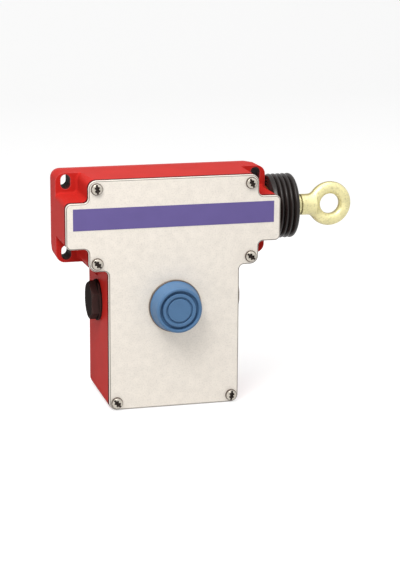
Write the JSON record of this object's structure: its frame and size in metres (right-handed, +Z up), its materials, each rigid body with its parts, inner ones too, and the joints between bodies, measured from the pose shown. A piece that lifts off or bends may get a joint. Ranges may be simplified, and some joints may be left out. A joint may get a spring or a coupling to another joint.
{
  "type": "rope pull switch",
  "caption": "Wall-mounted rope pull switch: flat T-shaped metal box with slotted ears, a bellows and rope eye at one end of the arms, a booted reset button and plugged side entries",
  "frame": {"origin": "On the back face that rests on the wall, in the middle of the four fixing slots", "axes": "+X runs along the pull rod towards the eye, +Y into the wall, so the cover faces -Y, and +Z is up, towards the arms of the T"},
  "size_m": [0.1881, 0.073, 0.1422],
  "materials": {
    "housing": "die-cast and powder coated, safety red",
    "cover_gasket": "flat black sheet",
    "cover_plate": "fine mottled satin, warm sheen",
    "band_label": "thin plain foil, muted violet",
    "cover_screws": "zinc plated pan heads",
    "left_plug": "moulded black",
    "right_plug": "moulded black",
    "plug_seals": "flat black rings",
    "guide_bush": "turned",
    "bush_nut": "turned, zinc plated",
    "bellows": "moulded, slight sheen",
    "main_spring": "spring wire",
    "rear_guide": "pressed and zinc plated",
    "contact_rail": "pressed and zinc plated",
    "bracket_screws": "zinc plated",
    "contact_block_left": "moulded, ivory",
    "contact_block_right": "moulded, ivory",
    "terminal_screws": "plain",
    "latch_pin": "ground",
    "button_collar": "turned, dull",
    "button_nut": "moulded black",
    "reset_boot": "moulded, satin blue",
    "reset_spring": "spring wire",
    "earth_screw": "plain",
    "earth_washer": "plain",
    "pull_rod": "ground",
    "rod_collar": "turned",
    "cam": "moulded",
    "spring_seat": "pressed",
    "pull_eye": "zinc plated and yellow passivated",
    "button_stem": "moulded",
    "latch_lever": "pressed",
    "plunger_left": "moulded red",
    "plunger_right": "moulded red"
  },
  "bodies": {
    "box": {"housing": "housing", "cover_gasket": "cover_gasket", "cover_plate": "cover_plate", "band_label": "band_label", "cover_screws": "cover_screws", "left_plug": "left_plug", "right_plug": "right_plug", "plug_seals": "plug_seals", "guide_bush": "guide_bush", "bush_nut": "bush_nut", "bellows": "bellows", "main_spring": "main_spring", "rear_guide": "rear_guide", "contact_rail": "contact_rail", "bracket_screws": "bracket_screws", "contact_block_left": "contact_block_left", "contact_block_right": "contact_block_right", "terminal_screws": "terminal_screws", "latch_pin": "latch_pin", "button_collar": "button_collar", "button_nut": "button_nut", "reset_boot": "reset_boot", "reset_spring": "reset_spring", "earth_screw": "earth_screw", "earth_washer": "earth_washer"},
    "rod": {"pull_rod": "pull_rod", "rod_collar": "rod_collar", "cam": "cam", "spring_seat": "spring_seat", "pull_eye": "pull_eye"},
    "button": {"button_stem": "button_stem"},
    "lever": {"latch_lever": "latch_lever"},
    "left_plunger": {"plunger_left": "plunger_left"},
    "right_plunger": {"plunger_right": "plunger_right"}
  },
  "joints": [
    {"name": "rod_slide", "type": "slide", "parent": "box", "child": "rod", "axis": [1, 0, 0], "range_m": [0, 0.012], "stiffness_N_per_m": 4000, "springref_m": -0.01, "deforming": ["bellows", "main_spring"]},
    {"name": "reset_press", "type": "slide", "parent": "box", "child": "button", "axis": [0, 1, 0], "range_m": [0, 0.004], "stiffness_N_per_m": 1500, "springref_m": -0.002, "deforming": ["reset_boot", "reset_spring"]},
    {"name": "latch_tilt", "type": "hinge", "parent": "box", "child": "lever", "pos_m": [0, -0.022, -0.03], "axis": [1, 0, 0], "range_deg": [0, 11.23]},
    {"name": "plunger_left_slide", "type": "slide", "parent": "box", "child": "left_plunger", "axis": [0, 0, -1], "range_m": [0, 0.0024]},
    {"name": "plunger_right_slide", "type": "slide", "parent": "box", "child": "right_plunger", "axis": [0, 0, -1], "range_m": [0, 0.0024]}
  ],
  "couplings": [
    {"joint": "plunger_left_slide", "follows": "rod_slide", "ratio": 0.2},
    {"joint": "plunger_right_slide", "follows": "rod_slide", "ratio": 0.2},
    {"joint": "latch_tilt", "follows": "reset_press", "rad_per_m": 49}
  ]
}
